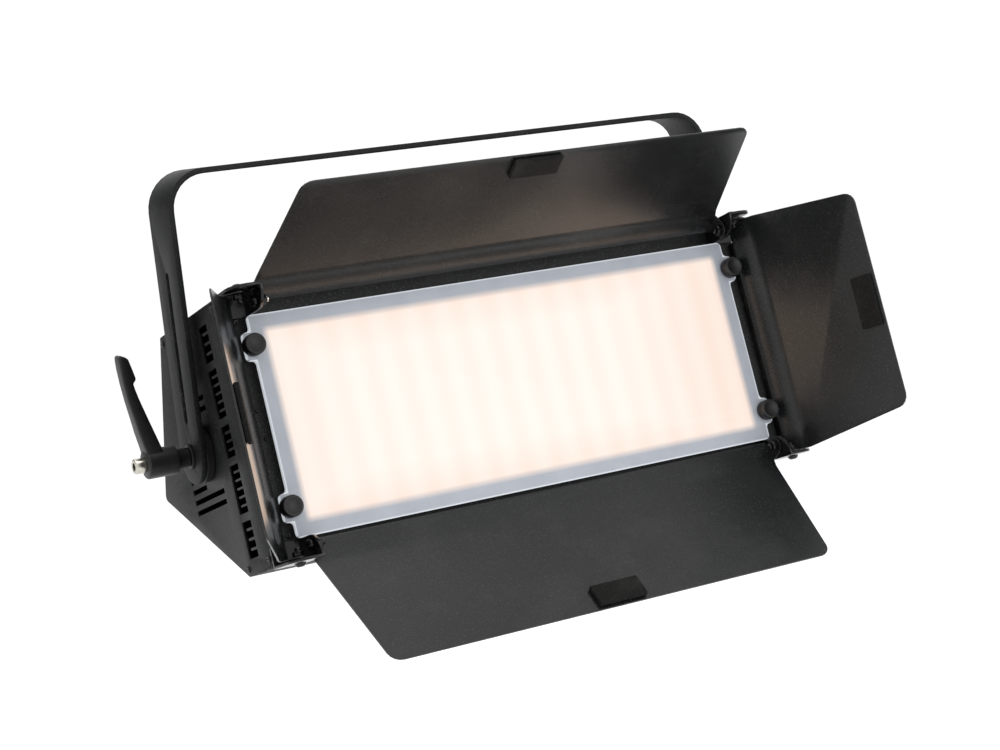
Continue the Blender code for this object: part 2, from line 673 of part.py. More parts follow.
def rear_controls(cover):
    """Sockets, fuse, display and four push buttons on the rear panel, and the safety eye."""
    for name, x in (("power_inlet", -0.165), ("data_inlet", 0.120), ("data_outlet", 0.158)):
        place = (x, 0, 0)
        cap = box((-0.013, -0.0155, GAP), (0.013, 0.0155, 0.0028))
        flange = add(name, cap, BLACK_PLASTIC, rear_panel, place)
        boolean(flange, helper(rod(0.0118, -0.018, 0.002), rear_panel, place), "UNION")
        boolean(flange, helper(rod(0.0092, -0.011, 0.01), rear_panel, place))
        boolean(cover, helper(rod(0.0122, -0.005, 0.005), rear_panel, place))
    fuse = [(0, 0.009), (0.0062, 0.009), (0.007, 0.0082), (0.007, GAP), (0.0055, GAP)]
    fuse += [(0.0055, -0.022), (0, -0.022)]
    add_turned("fuse_holder", turned(fuse), BLACK_PLASTIC, rear_panel, (-0.128, 0, 0))
    boolean(cover, helper(rod(0.0059, -0.005, 0.005), rear_panel, (-0.128, 0, 0)))
    place = (-0.030, 0, 0)
    lens = box((-0.030, -0.013, GAP), (0.030, 0.013, 0.0022))
    screen = add("display", lens, GLASS, rear_panel, place)
    body = helper(box((-0.024, -0.008, -0.008), (0.024, 0.008, 0.001)), rear_panel, place)
    boolean(screen, body, "UNION")
    opening = box((-0.0244, -0.0084, -0.005), (0.0244, 0.0084, 0.005))
    boolean(cover, helper(opening, rear_panel, place))
    cap = [(0, 0.0022), (0.0030, 0.0022), (0.0035, 0.0017), (0.0035, -0.0019)]
    cap += [(0.0048, -0.0019), (0.0048, -0.0029), (0, -0.0029)]
    for k in range(4):
        place = (0.022 + 0.014 * k, 0, 0)
        add_turned(f"menu_button_{k + 1}", turned(cap, 14), BLACK_PLASTIC, rear_panel, place)
        boolean(cover, helper(rod(0.0038, -0.005, 0.005, 14), rear_panel, place))

    loop = bpy.data.curves.new("safety_eye", "CURVE")
    loop.dimensions = "3D"
    loop.bevel_depth = 0.0025
    loop.bevel_resolution = 2
    loop.use_fill_caps = True
    half, straight = 0.013, 0.009
    arch = [(-half * cos(pi * k / 10), 0, straight + half * sin(pi * k / 10)) for k in range(11)]
    points = [(-half, 0, GAP)] + arch + [(half, 0, GAP)]
    spline = loop.splines.new("POLY")
    spline.points.add(len(points) - 1)
    for point, place in zip(spline.points, points):
        point.co = (*place, 1)
    add("safety_eye", loop, GLOSS_BLACK, housing, (0, 0.095, HALF_HEIGHT))


yoke()
tilt_hardware()
rear = housing_shell()
light_engine()
electronics()
diffuser()
drills = hinge_cutters()
for name, (kind, _, _) in DOORS.items():
    barn_door(name, kind, drills[name])
for end in ENDS:
    for side in SIDES:
        corner_bracket(end, side, (drills[end], drills[side]))
hinge_bolts()
rear_controls(rear)
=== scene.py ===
# %% [markdown]
# # LED panel light with barn doors
#
# A soft studio light: a folded steel housing hangs tilted in a U-shaped yoke, a frosted sheet glows
# in front, and four hinged barn doors shade it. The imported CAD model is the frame. This script
# gives each of its parts a finish, and rebuilds the parts that deserve finer shapes.
# Everything is in metres, and the light shines towards -Y.

import json
from math import atan2, cos, pi, radians, sin, tan

import bmesh
import bpy
from mathutils import Matrix, Vector


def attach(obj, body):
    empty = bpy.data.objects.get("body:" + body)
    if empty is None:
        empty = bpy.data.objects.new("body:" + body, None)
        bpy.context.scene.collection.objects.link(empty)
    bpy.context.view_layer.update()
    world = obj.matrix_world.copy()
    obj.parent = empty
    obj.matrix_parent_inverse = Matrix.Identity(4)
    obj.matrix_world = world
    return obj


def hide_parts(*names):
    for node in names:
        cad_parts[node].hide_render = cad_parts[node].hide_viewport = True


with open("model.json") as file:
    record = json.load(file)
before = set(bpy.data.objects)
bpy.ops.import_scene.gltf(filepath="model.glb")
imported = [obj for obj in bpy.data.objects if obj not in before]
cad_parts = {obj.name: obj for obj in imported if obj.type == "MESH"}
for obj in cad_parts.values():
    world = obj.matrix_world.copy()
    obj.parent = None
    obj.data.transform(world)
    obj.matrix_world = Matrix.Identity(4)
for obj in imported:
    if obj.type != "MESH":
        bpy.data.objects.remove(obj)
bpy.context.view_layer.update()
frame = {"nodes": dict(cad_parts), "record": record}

# %% [markdown]
# ## Where things are
#
# The housing is tilted in its yoke, so it is easier to build its details upright and then turn
# them into place with one matrix. A second matrix stands on the sloping rear panel, and one more
# for each clamp lever points outwards along the pivot, with its X axis up.

# %% Places to build in
TILT = radians(14.8)
PIVOT = Vector((0, 0, -0.198))
HALF_WIDTH, HALF_HEIGHT = 0.213, 0.0925
TOP_DEPTH, LIP_DEPTH, SLOPE = 0.114, 0.046, radians(30)
UPRIGHT = Matrix.Identity(4)
HOUSING = (
    Matrix.Translation(PIVOT)
    @ Matrix.Rotation(-TILT, 4, "X")
    @ Matrix.Translation((0, -0.078, 0))
)
slant = (LIP_DEPTH - TOP_DEPTH + 2 * HALF_HEIGHT / tan(SLOPE)) * sin(SLOPE)
rear_corner = Vector((0, TOP_DEPTH + slant * sin(SLOPE), HALF_HEIGHT - slant * cos(SLOPE)))
rear_middle = (rear_corner + Vector((0, TOP_DEPTH, HALF_HEIGHT))) / 2
REAR = HOUSING @ Matrix.Translation(rear_middle) @ Matrix.Rotation(SLOPE - pi / 2, 4, "X")
SIDES = {"left": -1, "right": 1}
ENDS = {"top": 1, "bottom": -1}


def lever_place(side):
    """+Z points outwards along the pivot and +X points up."""
    turn = Matrix.Rotation(pi if side == "right" else 0, 4, "Z") @ Matrix.Rotation(-pi / 2, 4, "Y")
    return Matrix.Translation(PIVOT) @ turn


# %% [markdown]
# ## Camera
#
# The view is from the light's own left, a little below the crossbar, with a longish lens. The
# matrix columns are the camera's right, up and backward directions.

# %% Camera
camera = bpy.data.objects.new("camera", bpy.data.cameras.new("camera"))
bpy.context.scene.collection.objects.link(camera)
right, up, forward = (
    Vector((0.86298, -0.49224, -0.11383)),
    Vector((0.15559, 0.04456, 0.98682)),
    Vector((0.48068, 0.86932, -0.11504)),
)
camera.matrix_world = Matrix.Translation((-0.7442, -1.3977, 0.0048)) @ Matrix(
    (right, up, -forward)
).transposed().to_4x4()
camera.data.lens = 76.9
camera.data.sensor_width = 36
bpy.context.scene.camera = camera

# %% [markdown]
# ## Studio
#
# The room is a pale floor and a bright, even surround, as in a product studio. Three large soft
# lights give the black metal its shape: black only shows through what it reflects, so a wide
# light from above draws the tops of the folds, and the sides stay dark.

# %% Floor and lights
bpy.context.scene.view_settings.view_transform = "Standard"
floor_bm = bmesh.new()
FLOOR_SIZE, FLOOR_HEIGHT = 40, -0.62
bmesh.ops.create_grid(floor_bm, x_segments=1, y_segments=1, size=FLOOR_SIZE)
bmesh.ops.translate(floor_bm, vec=(0, 0, FLOOR_HEIGHT), verts=floor_bm.verts)
floor_mesh = bpy.data.meshes.new("floor")
floor_bm.to_mesh(floor_mesh)
floor_bm.free()
floor = bpy.data.objects.new("floor", floor_mesh)
bpy.context.scene.collection.objects.link(floor)

world = bpy.data.worlds.new("studio")
world.use_nodes = True
bpy.context.scene.world = world

SOFT_LIGHTS = {
    # name: (place, aims at, width, height, watts)
    "overhead": ((-0.3, -0.3, 1.7), (0, 0, -0.2), 2.2, 1.6, 12),
    "far_corner": ((0.75, 0.62, 1.25), (-0.15, -0.2, -0.3), 0.7, 0.7, 8),
    "front_right": ((0.75, -1.85, 0.3), (-0.2, -0.1, -0.25), 0.9, 0.9, 5),
}
for name, (place, target, width, height, watts) in SOFT_LIGHTS.items():
    light = bpy.data.lights.new(name, "AREA")
    light.shape = "RECTANGLE"
    light.size, light.size_y, light.energy = width, height, watts
    holder = bpy.data.objects.new(name, light)
    holder.location = place
    holder.rotation_euler = (Vector(target) - Vector(place)).to_track_quat("-Z", "Y").to_euler()
    bpy.context.scene.collection.objects.link(holder)

# The lit sheet also throws warm light on the doors. A weak light just in front of it does that.
SPILL_WATTS, SPILL_COLOUR, SPILL_FORWARD = 0.24, (1.0, 0.70, 0.50), 0.0105
spill = bpy.data.lights.new("spill", "AREA")
spill.shape = "RECTANGLE"
spill.size, spill.size_y, spill.energy, spill.color = 0.36, 0.13, SPILL_WATTS, SPILL_COLOUR
holder = bpy.data.objects.new("spill", spill)
holder.matrix_world = (
    HOUSING @ Matrix.Translation((0, -SPILL_FORWARD, 0)) @ Matrix.Rotation(-pi / 2, 4, "X")
)
holder.visible_camera = False
bpy.context.scene.collection.objects.link(holder)

# %% [markdown]
# ## Shader building blocks
#
# Two effects come back in many finishes, so each is a node group that is made once. The first is
# the grain of a coated or moulded surface: fine specks, soft clouds of uneven gloss, and a height
# for a bump. The second is what handling leaves: thin dust in patches, and a few rubbed spots.


# %% Node helpers
def linked(tree, kind, settings=None, **inputs):
    """A new node. An input is a value, or another node's output to read."""
    made = tree.nodes.new("ShaderNode" + kind)
    for key, value in (settings or {}).items():
        setattr(made, key, value)
    for key, value in inputs.items():
        socket = made.inputs[int(key[1:]) if key[0] == "_" else key.replace("_", " ")]
        if isinstance(value, bpy.types.NodeSocket):
            tree.links.new(value, socket)
        else:
            socket.default_value = value
    return made


def spread(tree, value, low, high, to_low=0.0, to_high=1.0):
    """The value, moved from one range to another and kept inside it."""
    node = linked(
        tree, "MapRange", _0=value, _1=low, _2=high, _3=to_low, _4=to_high
    )
    return node.outputs["Result"]


def mixed(tree, factor, first, second):
    node = linked(tree, "Mix", {"data_type": "RGBA"}, _0=factor, _6=first, _7=second)
    return node.outputs[2]


def maths(tree, operation, first, second=0.0):
    node = linked(tree, "Math", {"operation": operation}, _0=first, _1=second)
    return node.outputs[0]


def new_group(name, inputs, outputs):
    tree = bpy.data.node_groups.new(name, "ShaderNodeTree")
    for socket, kind, value in inputs:
        made = tree.interface.new_socket(socket, in_out="INPUT", socket_type="NodeSocket" + kind)
        if value is not None:
            made.default_value = value
    for socket in outputs:
        tree.interface.new_socket(socket, in_out="OUTPUT", socket_type="NodeSocketFloat")
    return tree, tree.nodes.new("NodeGroupInput"), tree.nodes.new("NodeGroupOutput")


# %% [markdown]
# The surround is white in front of the lens and dimmer to the light's far left, like a room with
# one dark wall. That wall is what the side plate and the yoke's arm reflect.

# %% Surround
room = world.node_tree
heading = linked(room, "SeparateXYZ", Vector=linked(room, "TexCoord").outputs["Object"])
towards = maths(
    room, "ADD", maths(room, "MULTIPLY", heading.outputs["X"], -0.6),
    maths(room, "MULTIPLY", heading.outputs["Y"], 0.8),
)
shade = mixed(
    room, spread(room, towards, 0.68, 0.88), (1.08, 1.08, 1.08, 1), (0.22, 0.22, 0.22, 1)
)
room.links.new(shade, room.nodes["Background"].inputs["Color"])
room.nodes["Background"].inputs["Strength"].default_value = 1.0

# %% [markdown]
# Every coated surface has a fine grain and slow, cloudy changes of tone. Both come from noise at
# two scales, so they are made once as a node group that each finish places with its own values.

# %% Grain group
grain_tree, given, result = new_group(
    "surface_grain",
    [("Vector", "Vector", None), ("Fineness", "Float", 1500.0), ("Cloud Size", "Float", 9.0)],
    ["Speck and Glint", "Cloud", "Height"],
)
fine = linked(grain_tree, "TexNoise", Vector=given.outputs["Vector"], Detail=2.0)
grain_tree.links.new(given.outputs["Fineness"], fine.inputs["Scale"])
broad = linked(grain_tree, "TexNoise", Vector=given.outputs["Vector"], Detail=3.0)
grain_tree.links.new(given.outputs["Cloud Size"], broad.inputs["Scale"])
# The lighter specks are partly the coat's own grain and partly painted glints, small highlights put into
# the colour.
speck_and_glint = spread(grain_tree, fine.outputs[0], 0.58, 0.72)
cloud = spread(grain_tree, broad.outputs[0], 0.3, 0.7)
for name, value in (("Speck and Glint", speck_and_glint), ("Cloud", cloud), ("Height", fine.outputs[0])):
    grain_tree.links.new(value, result.inputs[name])

# %% [markdown]
# Used equipment gathers thin dust and is rubbed in streaks. This second group gives a mask for
# each, and the finishes decide how strongly to show them.

# %% Handling group
handling_tree, given, result = new_group(
    "handling",
    [("Vector", "Vector", None), ("Dust", "Float", 0.3), ("Rubbing", "Float", 0.3)],
    ["Dust", "Rubbed"],
)
drift = linked(
    handling_tree, "TexNoise", Vector=given.outputs["Vector"], Scale=24.0, Detail=6.0, Roughness=0.7
)
dust = spread(handling_tree, drift.outputs[0], 0.5, 0.85)
streaks = linked(handling_tree, "Mapping", Vector=given.outputs["Vector"], Scale=(1.0, 1.0, 9.0))
rubs = linked(
    handling_tree, "TexNoise", Vector=streaks.outputs[0], Scale=75.0, Detail=4.0, Roughness=0.6
)
rubbed = spread(handling_tree, rubs.outputs[0], 0.66, 0.74)
dusty = maths(handling_tree, "MULTIPLY", dust, given.outputs["Dust"])
worn = maths(handling_tree, "MULTIPLY", rubbed, given.outputs["Rubbing"])
handling_tree.links.new(dusty, result.inputs["Dust"])
handling_tree.links.new(worn, result.inputs["Rubbed"])

# %% [markdown]
# ## Finishes
#
# Most of the light is powder-coated steel: nearly black, satin, with tiny lighter specks that are
# partly the coat's grain and partly painted glints. The brackets and bolts are glossier, and the
# knobs and levers are moulded plastic. One function makes them all from a dark and a light colour,
# a range of roughness and a depth of grain.


# %% Coated and moulded finishes
def start_material(name):
    made = bpy.data.materials.new(name)
    made.use_nodes = True
    tree = made.node_tree
    place = linked(tree, "TexCoord").outputs["Object"]
    return made, tree, tree.nodes["Principled BSDF"], place


def put(tree, shader, **inputs):
    for key, value in inputs.items():
        socket = shader.inputs[key.replace("_", " ")]
        if isinstance(value, bpy.types.NodeSocket):
            tree.links.new(value, socket)
        else:
            socket.default_value = value


def grainy(name, dark, light, gloss, fineness, depth, dust=0.25, rubbing=0.3, **constants):
    """A surface with specks, uneven gloss and a fine bump. gloss is the range of roughness."""
    made, tree, shader, place = start_material(name)
    grain = linked(
        tree, "Group", {"node_tree": grain_tree}, Vector=place, Fineness=fineness, Cloud_Size=9.0
    )
    touch = linked(
        tree, "Group", {"node_tree": handling_tree}, Vector=place, Dust=dust, Rubbing=rubbing
    )
    # The light colour of the specks is partly grain and partly painted glints.
    colour = mixed(tree, grain.outputs["Speck and Glint"], (*dark, 1), (*light, 1))
    settled = mixed(tree, touch.outputs["Dust"], colour, (0.10, 0.10, 0.095, 1))
    roughness = spread(tree, grain.outputs["Cloud"], 0, 1, *gloss)
    polished = maths(tree, "MULTIPLY", touch.outputs["Rubbed"], -0.12)
    bump = linked(
        tree, "Bump", Height=grain.outputs["Height"], Distance=depth, Strength=0.6
    )
    put(
        tree, shader,
        Base_Color=settled,
        Roughness=maths(tree, "ADD", roughness, polished),
        Normal=bump.outputs[0],
        **constants,
    )
    return made


POWDER_COAT = grainy(
    "black_powder_coat", (0.0045, 0.0048, 0.0052), (0.040, 0.042, 0.044), (0.46, 0.58),
    900.0, 0.00014, dust=0.15, Specular_IOR_Level=0.20,
)
DOOR_COAT = grainy(
    "door_coat", (0.0060, 0.0066, 0.0070), (0.028, 0.030, 0.032), (0.24, 0.32),
    900.0, 0.00006, dust=0.12, Specular_IOR_Level=0.40,
)
GLOSS_BLACK = grainy(
    "gloss_black_steel", (0.003, 0.003, 0.0035), (0.007, 0.007, 0.008), (0.14, 0.26),
    420.0, 0.00003, dust=0.1, rubbing=0.5, Specular_IOR_Level=0.32,
)
PLASTIC = grainy(
    "black_plastic", (0.004, 0.004, 0.0045), (0.010, 0.010, 0.011), (0.34, 0.48),
    1800.0, 0.00006, dust=0.15, Specular_IOR_Level=0.34,
)
FOAM = grainy(
    "black_foam", (0.006, 0.006, 0.006), (0.020, 0.020, 0.020), (0.92, 1.0), 900.0, 0.0006,
    rubbing=0.0, Specular_IOR_Level=0.2,
)
REFLECTOR = grainy(
    "white_reflector", (0.80, 0.80, 0.78), (0.86, 0.86, 0.84), (0.5, 0.65), 700.0, 0.00005, dust=0.1
)
EMITTER_BOARD = grainy(
    "emitter_board", (0.82, 0.82, 0.80), (0.88, 0.88, 0.86), (0.3, 0.4), 500.0, 0.00002, dust=0.05
)
ZINC = grainy(
    "zinc_case", (0.42, 0.43, 0.45), (0.58, 0.59, 0.60), (0.30, 0.45), 180.0, 0.00003, Metallic=1.0
)
ALUMINIUM = grainy(
    "aluminium", (0.60, 0.61, 0.62), (0.70, 0.71, 0.72), (0.28, 0.42), 260.0, 0.00005, Metallic=1.0
)
NICKEL = grainy(
    "nickel", (0.55, 0.53, 0.47), (0.68, 0.66, 0.60), (0.20, 0.34), 600.0, 0.00003,
    dust=0.1, Metallic=1.0,
)
BOARD = grainy(
    "circuit_board", (0.010, 0.070, 0.030), (0.05, 0.16, 0.08), (0.35, 0.5), 160.0, 0.00005
)
GLASS = grainy(
    "display_glass", (0.004, 0.006, 0.010), (0.008, 0.011, 0.016), (0.05, 0.12), 300.0, 0.00001,
    dust=0.1, rubbing=0.1,
)

# %% [markdown]
# The diffuser is a frosted acrylic sheet. The part in front of the light box glows: warm white, a
# little pinker at its ends, with faint upright bands where the rows of emitters sit. The border
# outside the box is a cool grey with a faint cool glow, and the cut edges glow brighter. Both are
# painted light: a painted sheen on the border and a painted highlight on the edges. The pattern is
# measured in the housing's own frame, which a Mapping node turns upright.

# %% Frosted sheet
WINDOW_HALF = (0.1855, 0.067)
SHEET_HALF = (0.1953, 0.0768)
upright = HOUSING.inverted()


def frosted_sheet():
    made, tree, shader, place = start_material("frosted_sheet")
    level = linked(
        tree, "Mapping", Vector=place, Location=upright.translation, Rotation=upright.to_euler()
    )
    spot = linked(tree, "SeparateXYZ", Vector=level.outputs[0])
    across = maths(tree, "ABSOLUTE", spot.outputs["X"])
    upward = maths(tree, "ABSOLUTE", spot.outputs["Z"])
    wide, high = WINDOW_HALF
    lit_x = spread(tree, across, wide + 0.0015, wide - 0.0035)
    lit_z = spread(tree, upward, high + 0.0015, high - 0.0035)
    lit = maths(tree, "MULTIPLY", lit_x, lit_z)
    in_tab = maths(
        tree, "MULTIPLY", maths(tree, "GREATER_THAN", upward, 0.0462),
        maths(tree, "LESS_THAN", upward, 0.0650),
    )
    tab = maths(tree, "MULTIPLY", in_tab, 0.0065)
    past = maths(tree, "SUBTRACT", maths(tree, "SUBTRACT", across, SHEET_HALF[0]), tab)
    # Painted highlight: a mask along the sheet's cut edges and its tabs, which then emit a bright grey.
    edge_highlight_x = spread(tree, past, -0.0012, -0.0003)
    edge_highlight_z = spread(tree, upward, SHEET_HALF[1] - 0.0012, SHEET_HALF[1] - 0.0003)
    rim = maths(tree, "MAXIMUM", edge_highlight_x, edge_highlight_z)
    wave = linked(
        tree, "TexWave", {"bands_direction": "X", "wave_profile": "SIN"},
        Vector=level.outputs[0], Scale=12.5, Distortion=0.25, Detail=1.0, Detail_Scale=2.0,
    )
    bands = spread(tree, wave.outputs[1], 0, 1, 0.0, 0.22)
    fade_right = spread(tree, spot.outputs["X"], 0.09, 0.187, 0.0, 0.60)
    fade_left = spread(tree, spot.outputs["X"], -0.14, -0.187, 0.0, 0.35)
    fade_z = spread(tree, upward, 0.040, 0.067, 0.0, 0.55)
    ends = maths(tree, "MAXIMUM", fade_right, fade_left)
    warm = maths(tree, "ADD", maths(tree, "MAXIMUM", ends, fade_z), bands)
    glow = mixed(tree, warm, (0.975, 0.915, 0.845, 1), (0.95, 0.73, 0.62, 1))
    haze = linked(tree, "TexNoise", Vector=place, Scale=60.0, Detail=3.0)
    border = mixed(tree, haze.outputs[0], (0.32, 0.335, 0.37, 1), (0.42, 0.44, 0.48, 1))
    body = mixed(tree, lit, border, (0.02, 0.02, 0.02, 1))
    # Outside the lit window the sheet emits a faint cool painted sheen, and a brighter painted highlight
    # along its cut edges.
    painted_sheen_and_highlight = mixed(tree, rim, (0.045, 0.05, 0.06, 1), (0.38, 0.40, 0.42, 1))
    frosting = linked(tree, "TexNoise", Vector=place, Scale=2500.0, Detail=1.0)
    bump = linked(tree, "Bump", Height=frosting.outputs[0], Distance=0.00004, Strength=0.5)
    put(
        tree, shader,
        Base_Color=body,
        Roughness=spread(tree, haze.outputs[0], 0, 1, 0.38, 0.5),
        Specular_IOR_Level=0.3,
        Emission_Color=mixed(tree, lit, painted_sheen_and_highlight, glow),
        Emission_Strength=1.0,
        Normal=bump.outputs[0],
    )
    return made


FROSTED = frosted_sheet()

# %% [markdown]
# The floor is matt and nearly white. A little light of its own keeps it as pale as the surround,
# so that no horizon shows between them.

# %% Floor finish
floor_mesh.materials.append(
    grainy(
        "studio_floor", (0.93, 0.93, 0.93), (0.96, 0.96, 0.96), (0.7, 0.8), 40.0, 0.0001, dust=0,
        Emission_Color=(0.07, 0.07, 0.07, 1), Emission_Strength=1.0,
    )
)

# %% [markdown]
# ## Refining the sheet-metal and moulded parts
#
# A folded sheet has edges that catch a thin line of light. The CAD solids are right but their
# edges are razor sharp, so each is copied, its doubled corners are merged, flat triangles are
# joined again, and every sharp edge gets a small bevel. Curves are then shaded smooth.


# %% Helpers that finish a piece
def place_piece(bm, name, body, finish, place=UPRIGHT, stands_for=()):
    """Writes the mesh with its place in its vertices, and lets the piece ride on its body."""
    bmesh.ops.transform(bm, matrix=place, verts=bm.verts)
    bmesh.ops.remove_doubles(bm, verts=bm.verts, dist=1e-6)
    bmesh.ops.recalc_face_normals(bm, faces=bm.faces)
    mesh = bpy.data.meshes.new(name)
    bm.to_mesh(mesh)
    bm.free()
    mesh.materials.append(finish)
    mesh.shade_smooth()
    mesh.set_sharp_from_angle(angle=radians(32))
    piece = bpy.data.objects.new(name, mesh)
    bpy.context.scene.collection.objects.link(piece)
    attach(piece, body)
    if stands_for:
        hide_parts(*stands_for)
    return piece


def worked_copy(node, edge, segments=2):
    """The CAD part's mesh, whole again, with a bevel on every sharp edge."""
    bm = bmesh.new()
    bm.from_mesh(frame["nodes"][node].data)
    bmesh.ops.remove_doubles(bm, verts=bm.verts, dist=2e-6)
    bmesh.ops.dissolve_limit(bm, angle_limit=radians(0.5), verts=bm.verts, edges=bm.edges)
    sharp = [e for e in bm.edges if e.is_manifold and e.calc_face_angle() > radians(35)]
    bmesh.ops.bevel(
        bm, geom=sharp, affect="EDGES", offset=edge, offset_type="OFFSET",
        segments=segments, profile=0.5, material=-1, clamp_overlap=True,
    )
    return bm


BODIES = frame["record"]["behaviour"]["bodies"]
BODY_OF = {node: body for body, nodes in BODIES.items() for node in nodes}
SLOT_OF = {entry["node"]: entry["material_slot"] for entry in frame["record"]["subparts"]}
FINISH_OF = {
    "black_powder_coat": POWDER_COAT,
    "gloss_black_steel": GLOSS_BLACK,
    "black_plastic": PLASTIC,
    "nickel": NICKEL,
    "frosted_sheet": FROSTED,
    "black_foam": FOAM,
    "white_reflector": REFLECTOR,
    "emitter_board": EMITTER_BOARD,
    "circuit_board": BOARD,
    "aluminium": ALUMINIUM,
    "power_case": ZINC,
    "display_glass": GLASS,
}


def finish_of(node):
    return DOOR_COAT if node.startswith("barn_door") else FINISH_OF[SLOT_OF[node]]


for node, obj in frame["nodes"].items():
    obj.data.materials.clear()
    obj.data.materials.append(finish_of(node))

# %% [markdown]
# Thin sheet gets a bevel of a fifth of a millimetre, and the thick bar and the clear sheet get
# more. The copy stands for the CAD part, which stays hidden for collisions.

# %% Copies with soft edges
EDGES = {
    "yoke": 0.0004, "front_plate": 0.00025, "rear_cover": 0.00025,
    "side_plate_left": 0.0002, "side_plate_right": 0.0002, "diffuser": 0.0004,
}
EDGES.update({f"barn_door_{door}": 0.0002 for door in ("top", "bottom", "left", "right")})
EDGES.update({f"bracket_{end}_{side}": 0.0003 for end in ENDS for side in SIDES})
for node, edge in EDGES.items():
    place_piece(
        worked_copy(node, edge), node + "_finished", BODY_OF[node],
        finish_of(node), stands_for=(node,),
    )

# %% [markdown]
# ## Turned parts
#
# A knob, screw, nut or washer is half an outline that is spun about its axis. A ring of it can be
# round, six-sided for a nut or a hex socket, four-lobed for a cross recess, or knurled for a grip,
# so one function spins them all and then pulls the marked rings into shape. Each profile point is
# (radius, height, kind).


# %% Lathe
def section(kind, angle):
    """How far a ring of this kind reaches at the angle, as a share of its radius."""
    if kind == "hex":
        return cos(pi / 6) / cos((angle + pi / 6) % (pi / 3) - pi / 6)
    if kind == "cross":
        return 1.0 if abs((angle + pi / 4) % (pi / 2) - pi / 4) < 0.3 else 0.42
    if kind == "knurl":
        return 1.0 - 0.018 * (0.5 + 0.5 * cos(36 * angle))
    return 1.0


def settled(own, bm, place):
    """Moves a finished shape to its place and, if there is a bm, adds the shape to it."""
    bmesh.ops.transform(own, matrix=place, verts=own.verts)
    if bm is None:
        return own
    mesh = bpy.data.meshes.new("shape")
    own.to_mesh(mesh)
    own.free()
    bm.from_mesh(mesh)
    bpy.data.meshes.remove(mesh)
    return bm


def lathe(profile, steps=48, bm=None, place=UPRIGHT):
    """A closed body turned about Z. The profile starts and ends on the axis, or closes a ring."""
    own = bmesh.new()
    line = [own.verts.new((radius, 0, height)) for radius, height, *kind in profile]
    hollow = profile[0][0] > 0
    pairs = zip(line, line[1:] + line[:1] if hollow else line[1:])
    edges = [own.edges.new(pair) for pair in pairs]
    bmesh.ops.spin(
        own, geom=line + edges, cent=(0, 0, 0), axis=(0, 0, 1), dvec=(0, 0, 0), angle=2 * pi,
        steps=steps, use_merge=True, use_duplicate=False,
    )
    bmesh.ops.remove_doubles(own, verts=own.verts, dist=2e-7)
    shaped = []
    for radius, height, *kind in profile:
        for v in own.verts if kind else ():
            if abs(v.co.z - height) < 1e-6 and abs(v.co.xy.length - radius) < 1e-6:
                shaped.append((v, section(kind[0], atan2(v.co.y, v.co.x))))
    for v, share in shaped:
        bmesh.ops.scale(own, vec=(share, share, 1), verts=[v])
    bmesh.ops.recalc_face_normals(own, faces=own.faces)
    return settled(own, bm, place)


def slab(points, low, high, bm=None, place=UPRIGHT, edge=0.0):
    """The outline, drawn in X and Y, as a solid from low to high along Z, with soft edges."""
    own = bmesh.new()
    own.faces.new([own.verts.new((x, y, low)) for x, y in points])
    made = bmesh.ops.extrude_face_region(own, geom=list(own.faces))["geom"]
    moved = [v for v in made if isinstance(v, bmesh.types.BMVert)]
    bmesh.ops.translate(own, vec=(0, 0, high - low), verts=moved)
    bmesh.ops.recalc_face_normals(own, faces=own.faces)
    if edge:
        bmesh.ops.bevel(
            own, geom=list(own.edges), affect="EDGES", offset=edge, segments=2, profile=0.5,
            material=-1, clamp_overlap=True,
        )
    return settled(own, bm, place)


def oblong(half_x, half_y, x=0.0, y=0.0):
    """The four corners of an upright rectangle around (x, y)."""
    return [
        (x - half_x, y - half_y), (x + half_x, y - half_y),
        (x + half_x, y + half_y), (x - half_x, y + half_y),
    ]


def at(x, y, z):
    return Matrix.Translation((x, y, z))


def facing_front(x, y, z):
    """In the housing, with +Z towards the front."""
    return HOUSING @ at(x, y, z) @ Matrix.Rotation(pi / 2, 4, "X")


def facing_side(side, y, z):
    return HOUSING @ at(SIDES[side] * HALF_WIDTH, y, z) @ Matrix.Rotation(SIDES[side] * pi / 2, 4, "Y")


# %% [markdown]
# ## Tilt clamps
#
# Each clamp is a turned hub on the pivot's stud with a leaning arm that ends in a finger notch.
# The bright socket screw holds the hub. Friction discs sit between the arms and the housing.

